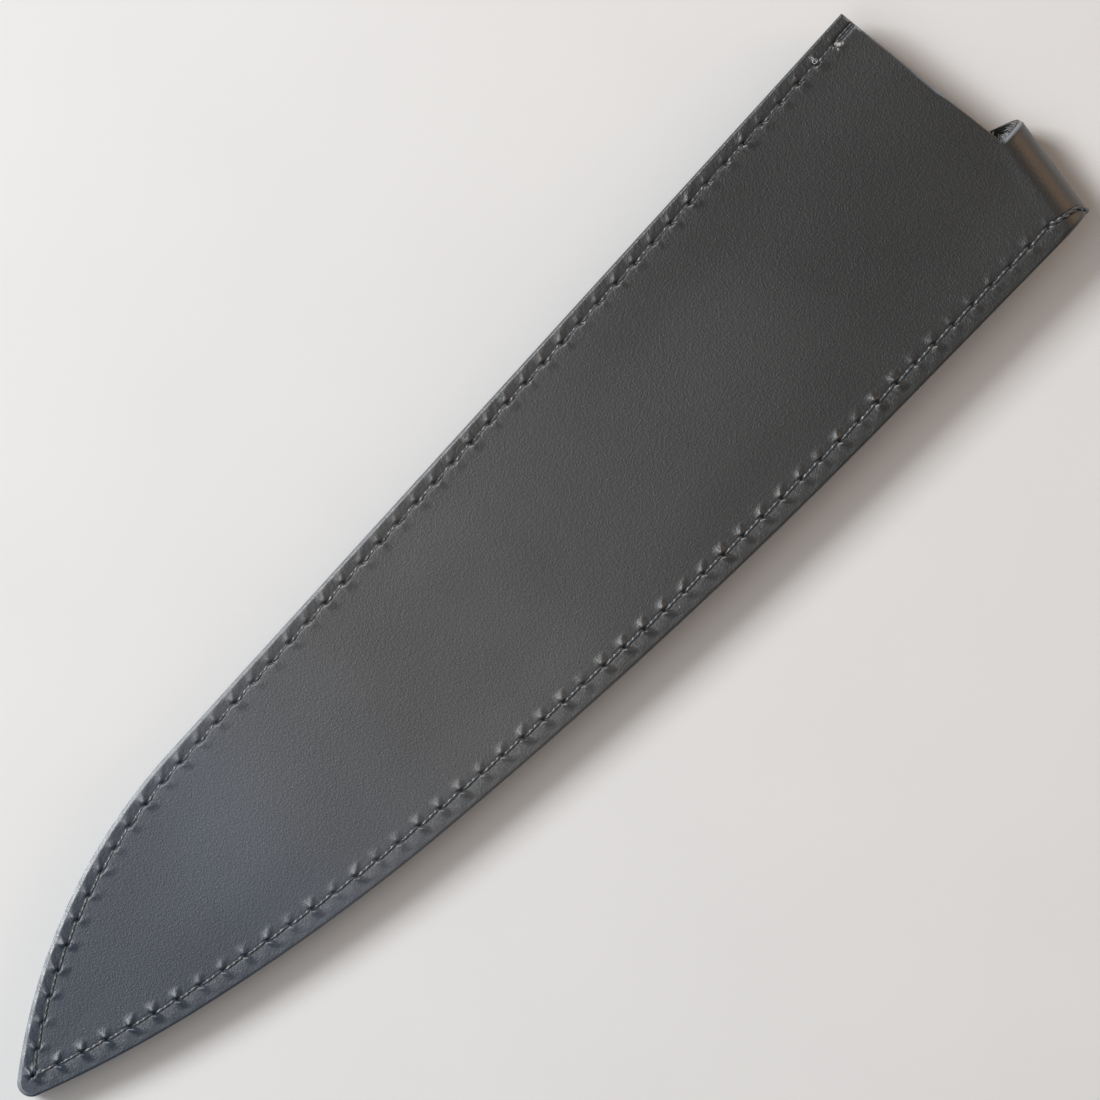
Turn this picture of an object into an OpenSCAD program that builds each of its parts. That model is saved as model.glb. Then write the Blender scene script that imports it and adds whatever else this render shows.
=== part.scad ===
// Leather blade guard for a chef's knife. Two panels are sewn together over strips of
// leather, the welts, which make room for the blade. A flap goes on from the front panel,
// turns round the heel half of the mouth, and snaps to the back.
// The pattern is drawn with its sharp tip at x = 0, its straight spine along y = 0 and its
// cutting edge below that. Heights count up from the outer face of the back panel.

/* [Outline] */
// Length from the sharp tip of the pattern to the mouth, along the spine
guard_len = 250.3; // [212:0.1:330]
// Width across the mouth
guard_w = 58.3; // [52:0.1:76]
// Radius in which the spine drops to the tip
spine_drop_r = 109; // [90:1:140]
// Radius of the cutting-edge side nearest the tip
tip_belly_r = 241; // [200:1:300]
// Degrees that this stretch turns through
tip_belly_turn = 9.3; // [8:0.1:11]
// Radius of the next stretch of that side
fore_belly_r = 404; // [340:1:480]
// Degrees that this stretch turns through
fore_belly_turn = 7.8; // [6:0.1:9]
// Radius of the long, almost straight stretch after it
mid_belly_r = 1130; // [950:1:1300]
// Degrees that this stretch turns through
mid_belly_turn = 5.7; // [5:0.1:6.5]
// Slope of the straight stretch at the heel, in degrees
heel_slope = 2; // [1:0.1:3]
// Rounding of the tip
tip_round = 2.6; // [1.5:0.1:4]

/* [Leather] */
// Thickness of the front panel, the back panel and the flap
panel_t = 1.9; // [1.6:0.1:2.4]
// Thickness of one welt
welt_t = 2.2; // [2.1:0.1:3]
// Width of the welts on the spine side
spine_welt_w = 4.4; // [4.2:0.1:6]
// Width of the welts on the cutting-edge side
edge_welt_w = 5.2; // [5:0.1:7]

/* [Mouth and flap] */
// Slope of the front panel's mouth, in degrees from square
mouth_slope = 3.3; // [1:0.1:5]
// Width of the flap where it leaves the mouth, from the cutting-edge side to the notch
flap_w = 20.7; // [16:0.1:25]
// Slope of the line on which the flap folds, in degrees from square
fold_slope = 11.4; // [8:0.1:14]
// Distance from the fold line to the centre of the snap, measured along the flat flap
snap_reach = 42; // [36:0.5:50]
// Space for the snap between the back panel and the flap
snap_gap = 1.8; // [1.7:0.05:2.4]
// Clearance between the flap and the front panel at the fold
fold_gap = 0.15; // [0.1:0.01:0.3]

/* [Seam] */
// Distance between needle holes
stitch_pitch = 5; // [4:0.1:7]
// Distance of the seam from the spine edge
spine_seam_in = 2.8; // [2.4:0.1:3.2]
// Distance of the seam from the cutting-edge side
edge_seam_in = 3.7; // [3.2:0.1:4.1]
// Distance from the mouth to the first needle hole on the spine side
spine_first_hole = 4.9; // [3:0.1:6]
// Distance from the mouth to the last needle hole on the cutting-edge side
edge_first_hole = 3.5; // [3:0.1:6]
// Radius of the thread where it lies on the leather
thread_r = 0.25; // [0.2:0.01:0.3]
// Radius of the thread inside a needle hole
leg_r = 0.2; // [0.12:0.01:0.2]
// Clearance round the thread in its groove and in its holes
thread_gap = 0.05; // [0.03:0.01:0.1]

/* [Snap] */
// Radius of the cap on the outside of the flap
cap_r = 6.2; // [5:0.1:8]
// Height of the cap, with its domed face
cap_h = 1.4; // [1:0.1:2]
// Radius of the cap's shank
cap_shank_r = 1.5; // [1.2:0.1:1.8]
// Radius of the socket
socket_r = 4.8; // [4.4:0.1:6]
// Radius of the stud's head
stud_head_r = 1.95; // [1.8:0.05:2.2]
// Radius of the stud's flange
stud_flange_r = 4.2; // [3:0.1:5]
// Radius of the post that holds the stud
post_r = 1.2; // [1:0.1:1.4]
// Clearance between the stud's head and the socket's mouth
snap_play = 0.4; // [0.35:0.01:0.6]
// Radius of the spring's wire
spring_wire_r = 0.15; // [0.12:0.01:0.16]
// Clearance between pieces of the snap that fit in one another
snap_fit = 0.05; // [0.03:0.01:0.1]

/* [Hidden] */
$fn = 48;
through = 0.1;

// Heights of the layers
back_welt_z = panel_t;
front_welt_z = back_welt_z + welt_t;
front_z = front_welt_z + welt_t;
stack_t = front_z + panel_t;

// The fold wraps the whole stack and the snap gap in one half turn
fold_out_r = (stack_t + snap_gap + panel_t) / 2;
fold_in_r = fold_out_r - panel_t;
fold_mid_r = (fold_out_r + fold_in_r) / 2;
fold_z = stack_t - fold_out_r;
fold_run = PI * fold_mid_r;
tail_top_z = -snap_gap;
tail_low_z = tail_top_z - panel_t;

// Headings of the cutting-edge side, from the tip to the heel
heel_head = -heel_slope;
mid_head = heel_head - mid_belly_turn;
fore_head = mid_head - fore_belly_turn;
tip_head = fore_head - tip_belly_turn;

function unit(a) = [cos(a), sin(a)];
function bearing(v) = (atan2(v.y, v.x) + 360) % 360;

// Where two circles cross, on the tip's side
function meet(c0, r0, c1, r1) =
    let (d = norm(c1 - c0),
         along = (r0 * r0 - r1 * r1 + d * d) / (2 * d),
         aside = sqrt(r0 * r0 - along * along),
         u = (c1 - c0) / d)
    c0 + along * u + aside * [-u.y, u.x];

// Where the line through p along u crosses the line through q along v
function cross_at(p, u, q, v) =
    p + u * ((q.x - p.x) * v.y - (q.y - p.y) * v.x) / (u.x * v.y - u.y * v.x);

function arc(c, r, a0, a1, n) = [for (i = [0:n]) c + r * unit(a0 + (a1 - a0) * i / n)];
function chord(r, h0, h1) = r * (unit(h1 - 90) - unit(h0 - 90));

// The belly's three arcs fix how far it drops, and so where the tip lies
belly = chord(tip_belly_r, tip_head, fore_head) + chord(fore_belly_r, fore_head, mid_head)
    + chord(mid_belly_r, mid_head, heel_head);
tip_y = (guard_len - belly.x) * tan(heel_slope) - belly.y - guard_w;
tip_point = [0, tip_y];
tip_c = tip_point - tip_belly_r * unit(tip_head - 90);
fore_c = tip_c + (tip_belly_r - fore_belly_r) * unit(fore_head - 90);
mid_c = fore_c + (fore_belly_r - mid_belly_r) * unit(mid_head - 90);
spine_c = [sqrt(-tip_y * (2 * spine_drop_r + tip_y)), -spine_drop_r];
round_c = meet(spine_c, spine_drop_r - tip_round, tip_c, tip_belly_r - tip_round);

// The spine side at a distance d inside the edge, from its straight part to the angle last
function spine_arc(d, last) = arc(spine_c, spine_drop_r - d, 90, last, 12);
// The cutting-edge side at a distance d inside the edge, from the angle first to its straight
function belly_arcs(d, first) = concat(
    arc(tip_c, tip_belly_r - d, first, fore_head + 270, 6),
    arc(fore_c, fore_belly_r - d, fore_head + 270, mid_head + 270, 7),
    arc(mid_c, mid_belly_r - d, mid_head + 270, heel_head + 270, 8));
function straight_from(d) = mid_c + (mid_belly_r - d) * unit(heel_head - 90);
// A point on the straight stretch at the heel, where it meets the line through q along v
function heel_at(d, q, v) = cross_at(straight_from(d), unit(heel_head), q, v);

mouth_corner = [guard_len, 0];
mouth_line = unit(mouth_slope - 90);
square = [0, 1];
notch_in = guard_w - flap_w;
notch = mouth_corner + mouth_line * notch_in / cos(mouth_slope);
// out_of leaves the mouth square to the fold line, fold_line runs along it to the heel
out_of = unit(-fold_slope);
fold_line = unit(-fold_slope - 90);
crease = notch - fold_gap * out_of;

round_start = bearing(round_c - spine_c);
round_end = bearing(round_c - tip_c);
round_mid = (round_start + round_end) / 2;
rounded_tip = arc(round_c, tip_round, round_start, round_end, 8);

module outline(end_points) {
    polygon(concat([mouth_corner], spine_arc(0, round_start), rounded_tip,
                   belly_arcs(0, round_end), end_points));
}

// The inner corner where the two welts meet at the tip
pocket_tip = meet(spine_c, spine_drop_r - spine_welt_w, tip_c, tip_belly_r - edge_welt_w);

module spine_welt_shape() {
    polygon(concat([mouth_corner], spine_arc(0, round_start),
                   arc(round_c, tip_round, round_start, round_mid, 4),
                   [for (i = [12:-1:0]) spine_arc(spine_welt_w, bearing(pocket_tip - spine_c))[i]],
                   [[guard_len, -spine_welt_w]]));
}

module edge_welt_shape(q, v) {
    inner = concat(belly_arcs(edge_welt_w, bearing(pocket_tip - tip_c)), [heel_at(edge_welt_w, q, v)]);
    polygon(concat(arc(round_c, tip_round, round_mid, round_end, 4), belly_arcs(0, round_end),
                   [heel_at(0, q, v)], [for (i = [len(inner) - 1:-1:0]) inner[i]]));
}

// The seam: needle holes from the mouth to the tip along the spine, and on to the heel
spine_seam_r = spine_drop_r - spine_seam_in;
tip_hole = meet(spine_c, spine_seam_r, tip_c, tip_belly_r - edge_seam_in);
spine_run = guard_len - spine_first_hole - spine_c.x;
spine_seam_len = spine_run + spine_seam_r * (bearing(tip_hole - spine_c) - 90) * PI / 180;
spine_stitches = round(spine_seam_len / stitch_pitch);
function spine_hole(s) = s < spine_run ? [spine_c.x + spine_run - s, -spine_seam_in]
    : spine_c + spine_seam_r * unit(90 + (s - spine_run) / spine_seam_r * 180 / PI);

edge_start = straight_from(edge_seam_in);
edge_run = (guard_len - edge_first_hole - edge_start.x) / cos(heel_slope);
mid_run = (mid_belly_r - edge_seam_in) * mid_belly_turn * PI / 180;
fore_run = (fore_belly_r - edge_seam_in) * fore_belly_turn * PI / 180;
tip_hole_head = bearing(tip_hole - tip_c) - 270;
tip_run = (tip_belly_r - edge_seam_in) * (fore_head - tip_hole_head) * PI / 180;
edge_seam_len = edge_run + mid_run + fore_run + tip_run;
edge_stitches = round(edge_seam_len / stitch_pitch);
function on_belly(c, r, head, s) = c + (r - edge_seam_in)
    * unit(head - s / (r - edge_seam_in) * 180 / PI - 90);
function edge_hole(s) = s < edge_run ? edge_start + (edge_run - s) * unit(heel_head)
    : s < edge_run + mid_run ? on_belly(mid_c, mid_belly_r, heel_head, s - edge_run)
    : s < edge_run + mid_run + fore_run
        ? on_belly(fore_c, fore_belly_r, mid_head, s - edge_run - mid_run)
    : on_belly(tip_c, tip_belly_r, fore_head, s - edge_run - mid_run - fore_run);

spine_holes = [for (i = [0:spine_stitches]) spine_hole(i * spine_seam_len / spine_stitches)];
edge_holes = [for (i = [0:edge_stitches]) edge_hole(i * edge_seam_len / edge_stitches)];

// Each hole holds the ends of two stitches side by side, and the tip's hole is wider,
// because its two stitches leave it at a sharp angle
leg_in = thread_r + thread_gap;
tip_leg_in = 0.85;
hole_r = leg_in + leg_r + thread_gap;
tip_hole_r = tip_leg_in + leg_r + thread_gap;
groove_d = 2 * (thread_r + thread_gap);
bar_depth = groove_d / 2;
lock_z = stack_t / 2;

module seam_holes() {
    for (p = [for (i = [0:spine_stitches - 1]) spine_holes[i]])
        translate([p.x, p.y, -through]) cylinder(h = stack_t + 2 * through, r = hole_r, $fn = 24);
    for (p = [for (i = [0:edge_stitches - 1]) edge_holes[i]])
        translate([p.x, p.y, -through]) cylinder(h = stack_t + 2 * through, r = hole_r, $fn = 24);
    translate([tip_hole.x, tip_hole.y, -through])
        cylinder(h = stack_t + 2 * through, r = tip_hole_r, $fn = 24);
}

// A shallow channel in which the thread lies, open at both ends of the seam
module groove(z) {
    half = thread_r + 2 * thread_gap;
    spine_in = spine_arc(spine_seam_in + half, bearing(tip_hole - spine_c));
    edge_in = belly_arcs(edge_seam_in + half, bearing(tip_hole - tip_c));
    past = guard_len + 2 * panel_t + notch_in * tan(mouth_slope);
    end_out = heel_at(edge_seam_in - half, [past, 0], square);
    end_in = heel_at(edge_seam_in + half, [past, 0], square);
    translate([0, 0, z]) linear_extrude(groove_d + through) {
        polygon(concat([[past, half - spine_seam_in]],
                       spine_arc(spine_seam_in - half, bearing(tip_hole - spine_c)),
                       [for (i = [len(spine_in) - 1:-1:0]) spine_in[i]],
                       [[past, -half - spine_seam_in]]));
        polygon(concat(belly_arcs(edge_seam_in - half, bearing(tip_hole - tip_c)), [end_out, end_in],
                       [for (i = [len(edge_in) - 1:-1:0]) edge_in[i]]));
    }
}

// One stitch: a bar that lies in the groove and a leg down each of its two holes
module stitch(a, b, a_in, b_in, bar_z, leg_low, leg_high) {
    span = norm(b - a);
    translate([a.x, a.y, 0]) rotate([0, 0, bearing(b - a)]) {
        translate([a_in - thread_r, 0, bar_z]) rotate([0, 90, 0])
            cylinder(h = span - a_in - b_in + 2 * thread_r, r = thread_r, $fn = 24);
        for (x = [a_in, span - b_in])
            translate([x, 0, leg_low]) cylinder(h = leg_high - leg_low, r = leg_r, $fn = 24);
    }
}

// All stitches of one thread, with the last one turned over the mouth's edge at the spine
module thread(bar_z, leg_low, leg_high) {
    for (i = [0:spine_stitches - 1])
        stitch(spine_holes[i], spine_holes[i + 1], leg_in, i == spine_stitches - 1 ? tip_leg_in : leg_in,
               bar_z, leg_low, leg_high);
    for (i = [0:edge_stitches - 1])
        stitch(edge_holes[i], edge_holes[i + 1], leg_in, i == edge_stitches - 1 ? tip_leg_in : leg_in,
               bar_z, leg_low, leg_high);
    over = guard_len + spine_seam_in * tan(mouth_slope) + thread_r + thread_gap;
    stitch([over, -spine_seam_in], spine_holes[0], 0, leg_in, bar_z, leg_low, leg_high);
}

// The flap in the fold's own frame: x leaves the mouth, y runs along the fold to the spine.
// s is the distance from the fold line over the flat flap, and the sides run along the guard.
flap_root = norm(heel_at(0, notch, fold_line) - notch);
flap_end_r = flap_root * cos(fold_slope) / 2;
snap_s = snap_reach * cos(fold_slope);
snap_y = snap_reach * sin(fold_slope) - flap_root / 2;
snap_x = fold_gap + fold_run - snap_s;
function end_half(s) = sqrt(max(0, flap_end_r * flap_end_r - (s - snap_s) * (s - snap_s)));
function flap_upper(s) = s < snap_s - flap_end_r * sin(fold_slope) ? s * tan(fold_slope)
    : snap_y + end_half(s);
function flap_lower(s) = s < snap_s + flap_end_r * sin(fold_slope) ? s * tan(fold_slope) - flap_root
    : snap_y - end_half(s);
// A point of the folded flap: s over the flat flap, y along the fold, r the layer's radius
function folded(s, y, r) = s < fold_run
    ? let (a = s / fold_mid_r * 180 / PI) [fold_gap + r * sin(a), y, fold_z + r * cos(a)]
    : [fold_gap + fold_run - s, y, fold_z - r];

fold_steps = 16;
end_steps = 16;
end_from = snap_s - flap_end_r * sin(fold_slope);
end_turn = 85;
flap_s = concat([for (i = [0:fold_steps]) fold_run * i / fold_steps],
                [for (i = [0:end_steps]) let (a = -fold_slope + (end_turn + fold_slope) * i / end_steps)
                    snap_s + flap_end_r * sin(a)]);

module fold_frame() {
    translate([notch.x, notch.y, 0]) rotate([0, 0, -fold_slope]) children();
}

module flap_body() {
    points = [for (s = flap_s) each [
        folded(s, flap_upper(s), fold_out_r), folded(s, flap_upper(s), fold_in_r),
        folded(s, flap_lower(s), fold_in_r), folded(s, flap_lower(s), fold_out_r)]];
    last = 4 * (len(flap_s) - 1);
    sides = [for (i = [0:len(flap_s) - 2]) for (k = [0:3])
        let (p = 4 * i + k, q = 4 * i + (k + 1) % 4) each [[p, q, q + 4], [p, q + 4, p + 4]]];
    polyhedron(points, concat([[0, 2, 1], [0, 3, 2]], sides,
                              [[last, last + 1, last + 2], [last, last + 2, last + 3]]));
}

// The snap's two halves share one axis, square to the back panel
module at_snap() {
    fold_frame() translate([snap_x, snap_y, 0]) children();
}

socket_plate_t = 0.3;
socket_low_z = tail_top_z + socket_plate_t;
stud_flange_t = 0.25;
stud_rest = 0.3;
socket_top_z = -stud_flange_t - stud_rest;
stud_tip_z = socket_low_z + stud_rest + thread_gap;
stud_neck_r = stud_head_r - 0.35;
stud_head_h = 0.45;
socket_mouth_r = stud_head_r + snap_play;
spring_room_h = 2 * (spring_wire_r + snap_fit);
spring_z = socket_top_z - 0.2 - spring_room_h / 2;
spring_room_r = socket_mouth_r + 2 * spring_room_h / 2;
post_recess = 0.9;
post_head_t = 0.4;
post_head_r = stud_flange_r - 0.2;
post_head_z = panel_t - post_recess;
cover_z = post_head_z + post_head_t;
cap_rim_h = 0.5;

// Move the drawing so that the middle of the object's box is on the z axis and its
// lowest point, the snap's cap, is at z = 0
far_x = notch.x + (fold_gap + fold_out_r) * cos(fold_slope)
    + fold_run / 2 * tan(fold_slope) * sin(fold_slope);
near_x = round_c.x - tip_round;
module placed() {
    translate([-(near_x + far_x) / 2, guard_w / 2, cap_h - tail_low_z]) children();
}

leather = [0.16, 0.16, 0.17];
raw_leather = [0.30, 0.26, 0.23];
thread_black = [0.07, 0.07, 0.08];
steel = [0.62, 0.62, 0.64];

module front_panel() {
    color(leather) placed() difference() {
        translate([0, 0, front_z]) linear_extrude(panel_t)
            outline([heel_at(0, crease, fold_line),
                     cross_at(mouth_corner, mouth_line, crease, fold_line)]);
        seam_holes();
        groove(stack_t - groove_d);
    }
}

module back_panel() {
    color(leather) placed() difference() {
        linear_extrude(panel_t) outline([heel_at(0, mouth_corner, square)]);
        seam_holes();
        groove(-through);
        at_snap() {
            translate([0, 0, -through]) cylinder(h = panel_t, r = post_r + 2 * snap_fit);
            translate([0, 0, post_head_z]) cylinder(h = panel_t, r = post_head_r + 2 * snap_fit);
        }
    }
}

module welt_layer(z) {
    color(raw_leather) placed() difference() {
        translate([0, 0, z]) linear_extrude(welt_t) children();
        seam_holes();
    }
}

module spine_welt_front() {
    welt_layer(front_welt_z) spine_welt_shape();
}

module spine_welt_back() {
    welt_layer(back_welt_z) spine_welt_shape();
}

module edge_welt_front() {
    welt_layer(front_welt_z) edge_welt_shape(crease, fold_line);
}

module edge_welt_back() {
    welt_layer(back_welt_z) edge_welt_shape(mouth_corner, square);
}

module needle_thread() {
    color(thread_black) placed() thread(stack_t - bar_depth, lock_z + thread_gap, stack_t - bar_depth);
}

module bobbin_thread() {
    color(thread_black) placed() thread(bar_depth, bar_depth, lock_z - thread_gap);
}

module closure_flap() {
    color(leather) placed() difference() {
        fold_frame() flap_body();
        at_snap() translate([0, 0, tail_low_z - through])
            cylinder(h = panel_t + 2 * through, r = cap_shank_r + 2 * snap_fit);
    }
}

module snap_cap() {
    dome = cap_h - cap_rim_h;
    dome_r = (cap_r * cap_r + dome * dome) / (2 * dome);
    color(steel) placed() at_snap() {
        translate([0, 0, tail_low_z]) rotate_extrude($fn = 96)
            polygon(concat([[0, 0], [cap_r, 0], [cap_r, -cap_rim_h]],
                [for (i = [1:9]) let (x = cap_r * (1 - i / 10))
                    [x, dome_r - cap_h - sqrt(dome_r * dome_r - x * x)]],
                [[0, -cap_h]]));
        translate([0, 0, tail_low_z - cap_rim_h])
            cylinder(h = panel_t + cap_rim_h + socket_plate_t, r = cap_shank_r);
    }
}

module snap_socket() {
    bore = cap_shank_r + snap_fit;
    color(steel) placed() at_snap() rotate_extrude($fn = 96)
        polygon([[bore, tail_top_z], [socket_r, tail_top_z], [socket_r, socket_top_z],
                 [socket_mouth_r, socket_top_z], [socket_mouth_r, spring_z + spring_room_h / 2],
                 [spring_room_r, spring_z + spring_room_h / 2],
                 [spring_room_r, spring_z - spring_room_h / 2],
                 [socket_mouth_r, spring_z - spring_room_h / 2],
                 [socket_mouth_r, socket_low_z], [bore, socket_low_z]]);
}

module snap_spring() {
    color(steel) placed() at_snap() translate([0, 0, spring_z]) rotate_extrude($fn = 96)
        translate([spring_room_r - spring_wire_r - snap_fit, 0]) circle(r = spring_wire_r, $fn = 24);
}

module snap_stud() {
    bore = post_r + snap_fit;
    color(steel) placed() at_snap() rotate_extrude($fn = 96)
        polygon([[bore, 0], [stud_flange_r, 0], [stud_flange_r, -stud_flange_t],
                 [stud_neck_r, -stud_flange_t], [stud_neck_r, stud_tip_z + stud_head_h],
                 [stud_head_r, stud_tip_z + stud_head_h], [stud_head_r, stud_tip_z + 0.2],
                 [stud_head_r - 0.2, stud_tip_z], [bore, stud_tip_z]]);
}

module snap_post() {
    color(steel) placed() at_snap() {
        translate([0, 0, stud_tip_z]) cylinder(h = post_head_z + post_head_t - stud_tip_z, r = post_r);
        translate([0, 0, post_head_z]) cylinder(h = post_head_t, r = post_head_r);
    }
}

module post_cover() {
    color(raw_leather) placed() at_snap() translate([0, 0, cover_z])
        cylinder(h = panel_t - cover_z, r = post_head_r);
}

front_panel();
back_panel();
spine_welt_front();
spine_welt_back();
edge_welt_front();
edge_welt_back();
needle_thread();
bobbin_thread();
closure_flap();
snap_cap();
snap_socket();
snap_spring();
snap_stud();
snap_post();
post_cover();
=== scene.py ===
"""A black leather guard for a chef's knife: two panels sewn over welts, and a flap that snaps shut."""

import math

import bmesh
import bpy
import numpy as np
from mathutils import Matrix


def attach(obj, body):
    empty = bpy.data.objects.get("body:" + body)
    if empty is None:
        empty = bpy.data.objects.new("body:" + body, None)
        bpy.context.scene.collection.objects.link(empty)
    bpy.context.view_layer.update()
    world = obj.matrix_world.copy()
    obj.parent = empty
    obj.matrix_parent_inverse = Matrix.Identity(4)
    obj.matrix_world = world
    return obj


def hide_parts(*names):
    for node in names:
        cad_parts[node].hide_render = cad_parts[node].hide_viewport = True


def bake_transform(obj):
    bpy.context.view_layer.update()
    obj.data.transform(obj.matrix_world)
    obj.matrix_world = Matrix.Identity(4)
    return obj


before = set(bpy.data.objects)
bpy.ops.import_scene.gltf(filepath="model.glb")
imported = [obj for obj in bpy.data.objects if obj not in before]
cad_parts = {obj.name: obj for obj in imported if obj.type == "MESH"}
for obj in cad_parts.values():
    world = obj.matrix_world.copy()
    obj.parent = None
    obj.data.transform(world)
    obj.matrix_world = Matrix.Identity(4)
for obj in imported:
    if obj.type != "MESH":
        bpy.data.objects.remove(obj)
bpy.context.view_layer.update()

# THE FRONT LEATHER
# One piece of smooth black calf, 1.9 mm thick, cut to the guard's outline. It is sewn to the
# welts along both sides, and its heel half runs on past the mouth and bends round it as the
# flap. The pattern is in millimetres, with its sharp tip at x = 0 and the spine along y = 0.
GUARD_LEN, GUARD_W, FLAP_W = 250.3, 58.3, 20.7
LEATHER_T, FRONT_Z, STACK_T = 1.9, 6.3, 8.2
SPINE_R, TIP_ROUND = 109.0, 2.6
BELLY_R = np.array([241.0, 404.0, 1130.0])
FOLD_GAP, FOLD_Z, FOLD_IN_R = 0.15, 2.25, 4.05
FOLD_MID_R = FOLD_IN_R + LEATHER_T / 2
PITCH, SPINE_SEAM, EDGE_SEAM, SPINE_FIRST, EDGE_FIRST = 5.0, 2.8, 3.7, 4.9, 3.5
# In degrees, two slopes and how the cutting edge heads at the tip, between its arcs and on its straight part
MOUTH_SLOPE, FOLD_SLOPE = 3.3, 11.4
HEADS = np.array([-24.8, -15.5, -7.7, -2.0])
# The way from the pattern to the shared frame
TO_FRAME = np.array([-130.6396, 29.15, 5.1])


def unit(degrees):
    """The vector of length one that points so many degrees from +x."""
    a = np.radians(degrees)
    return np.stack([np.cos(a), np.sin(a)], -1)


def bearing(v):
    """The angle of a vector from +x, from 0 to 360 degrees."""
    return np.degrees(np.arctan2(v[..., 1], v[..., 0])) % 360


def smooth(t):
    """3 t squared less 2 t cubed, with t kept between 0 and 1."""
    t = np.clip(t, 0, 1)
    return t * t * (3 - 2 * t)


def bell(t):
    """e to the minus t squared: 1 at 0, and next to nothing past 2."""
    return np.exp(-t ** 2)


def meet(c0, r0, c1, r1):
    """Where two circles cross on the tip's side: so far along the line of centres, then square to it."""
    d = np.linalg.norm(c1 - c0)
    u = (c1 - c0) / d
    near = (r0 * r0 - r1 * r1 + d * d) / (2 * d)
    return c0 + near * u + math.sqrt(r0 * r0 - near * near) * np.array([-u[1], u[0]])


def cross_at(p, u, q, v):
    """Where the line through p along u crosses the line through q along v."""
    return p + u * ((q[0] - p[0]) * v[1] - (q[1] - p[1]) * v[0]) / (u[0] * v[1] - u[1] * v[0])


# The cutting-edge side is three arcs and a straight; together they fix where the tip lies
belly_run = (BELLY_R[:, None] * (unit(HEADS[1:] - 90) - unit(HEADS[:-1] - 90))).sum(0)
tip_y = (GUARD_LEN - belly_run[0]) * math.tan(math.radians(-HEADS[3])) - belly_run[1] - GUARD_W
tip_c = np.array([0, tip_y]) - BELLY_R[0] * unit(HEADS[0] - 90)
fore_c = tip_c + (BELLY_R[0] - BELLY_R[1]) * unit(HEADS[1] - 90)
mid_c = fore_c + (BELLY_R[1] - BELLY_R[2]) * unit(HEADS[2] - 90)
heel_line = mid_c + BELLY_R[2] * unit(HEADS[3] - 90)
spine_c = np.array([math.sqrt(-tip_y * (2 * SPINE_R + tip_y)), -SPINE_R])
round_c = meet(spine_c, SPINE_R - TIP_ROUND, tip_c, BELLY_R[0] - TIP_ROUND)
tip_hole = meet(spine_c, SPINE_R - SPINE_SEAM, tip_c, BELLY_R[0] - EDGE_SEAM)
round_from, round_to = bearing(round_c - spine_c), bearing(round_c - tip_c)
round_mid = (round_from + round_to) / 2

corner = np.array([GUARD_LEN, 0.0])
notch_in = GUARD_W - FLAP_W
notch = corner + unit(MOUTH_SLOPE - 90) * notch_in / math.cos(math.radians(MOUTH_SLOPE))
out_of, up_fold = unit(-FOLD_SLOPE), unit(90 - FOLD_SLOPE)
fold_from = notch + FOLD_GAP * out_of
heel = cross_at(heel_line, unit(HEADS[3]), fold_from, up_fold)
flap_root = np.linalg.norm(cross_at(heel_line, unit(HEADS[3]), notch, up_fold) - notch)


def belly_arcs(inside, start):
    """The arcs of the cutting edge, or of a line inside it, from a bearing at the tip on."""
    turns = [start, *(HEADS[1:] + 270)]
    return [(c, r - inside, a, b) for c, r, a, b in zip((tip_c, fore_c, mid_c), BELLY_R, turns, turns[1:])]


# An arc is its centre, its radius and the bearings where it starts and ends, from the tip to the mouth
SPINE_ARCS = [(round_c, TIP_ROUND, round_mid, round_from), (spine_c, SPINE_R, round_from, 90)]
BELLY_ARCS = [(round_c, TIP_ROUND, round_mid, round_to)] + belly_arcs(0, round_to)
SPINE_SEWN = [(spine_c, SPINE_R - SPINE_SEAM, bearing(tip_hole - spine_c), 90)]
EDGE_SEWN = belly_arcs(EDGE_SEAM, bearing(tip_hole - tip_c))


def along(arcs, heading, s):
    """Points s mm along a side from the tip, and the way out of the leather there: centre + radius times
    unit(angle) on each arc in turn, then straight on along the heading."""
    xy, out, start, s = np.zeros((len(s), 2)), np.zeros((len(s), 2)), 0.0, np.maximum(s, 0)
    for centre, radius, a, b in arcs:
        length = radius * math.radians(abs(b - a))
        here = s >= start
        ray = unit(a + (b - a) * (s - start) / length)[here]
        xy[here], out[here] = centre + radius * ray, ray
        start, end = start + length, centre + radius * unit(b)
    here = s >= start
    xy[here], out[here] = end + (s - start)[here, None] * unit(heading), unit(b)
    return xy, out


def side_length(arcs, end):
    """Length of a side from the tip to its end: its arcs and the straight after them."""
    centre, radius, _, b = arcs[-1]
    straight = np.linalg.norm(end - centre - radius * unit(b))
    return sum(r * math.radians(abs(q - p)) for _, r, p, q in arcs) + straight


def beside(xy, arcs, heading, length, seam):
    """How far a point lies in from a side's edge, and how far down its seam from the hole at the mouth: by
    the distance square to the straight part and along it, or by radius and angle about an arc's centre."""
    centre, radius, _, b = arcs[-1]
    v = xy - centre - radius * unit(b)
    start = sum(r * math.radians(abs(q - p)) for _, r, p, q in arcs)
    depth, run = seam - v @ unit(b), length - start - v @ unit(heading)
    for centre, radius, a, b in arcs[::-1]:
        start -= radius * math.radians(abs(b - a))
        v = xy - centre
        turn = bearing(v)
        bent = (turn - b) * (a - b) > 0
        depth = np.where(bent, seam + radius - np.linalg.norm(v, axis=-1), depth)
        run = np.where(bent, length - start - radius * np.radians((a - turn) * np.sign(a - b)), run)
    return depth, run


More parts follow.
